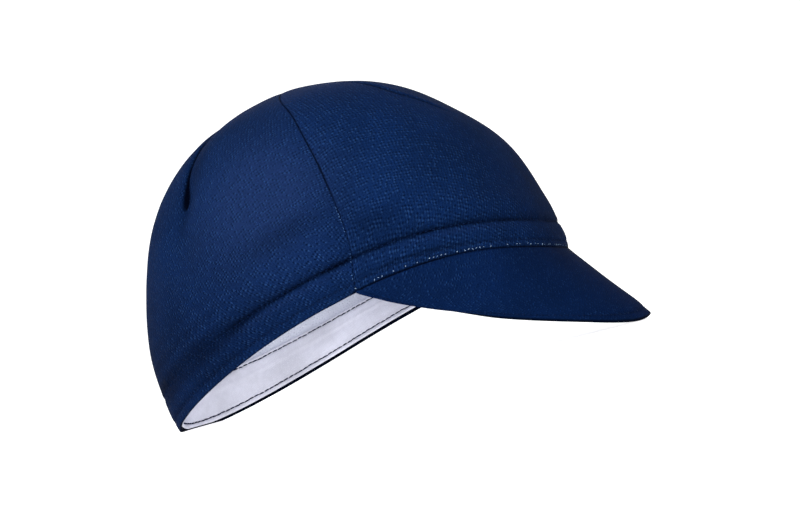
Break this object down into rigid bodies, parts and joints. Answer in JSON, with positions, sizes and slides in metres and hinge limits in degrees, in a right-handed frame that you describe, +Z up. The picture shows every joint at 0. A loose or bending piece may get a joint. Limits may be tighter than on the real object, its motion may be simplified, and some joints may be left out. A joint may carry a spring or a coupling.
{
  "type": "soft cloth cap with a short peak",
  "caption": "Close-fitting soft cloth cap with a short, steeply turned-down peak and an inner sweatband, resting on a flat surface.",
  "frame": {"origin": "middle of the bounding box's base, on the surface the cap rests on", "axes": "+Z up, the peak points to -Y, the wearer's left is +X"},
  "size_m": [0.1624, 0.2252, 0.1387],
  "materials": {
    "crown_cloth": "dark navy knitted mesh cloth",
    "peak_cloth": "dark navy plain cloth over a stiff board",
    "sweatband_cloth": "light grey brushed cloth"
  },
  "bodies": {
    "root": {"front_panel": "crown_cloth", "back_panel": "crown_cloth", "peak": "peak_cloth", "sweatband": "sweatband_cloth"}
  },
  "joints": []
}
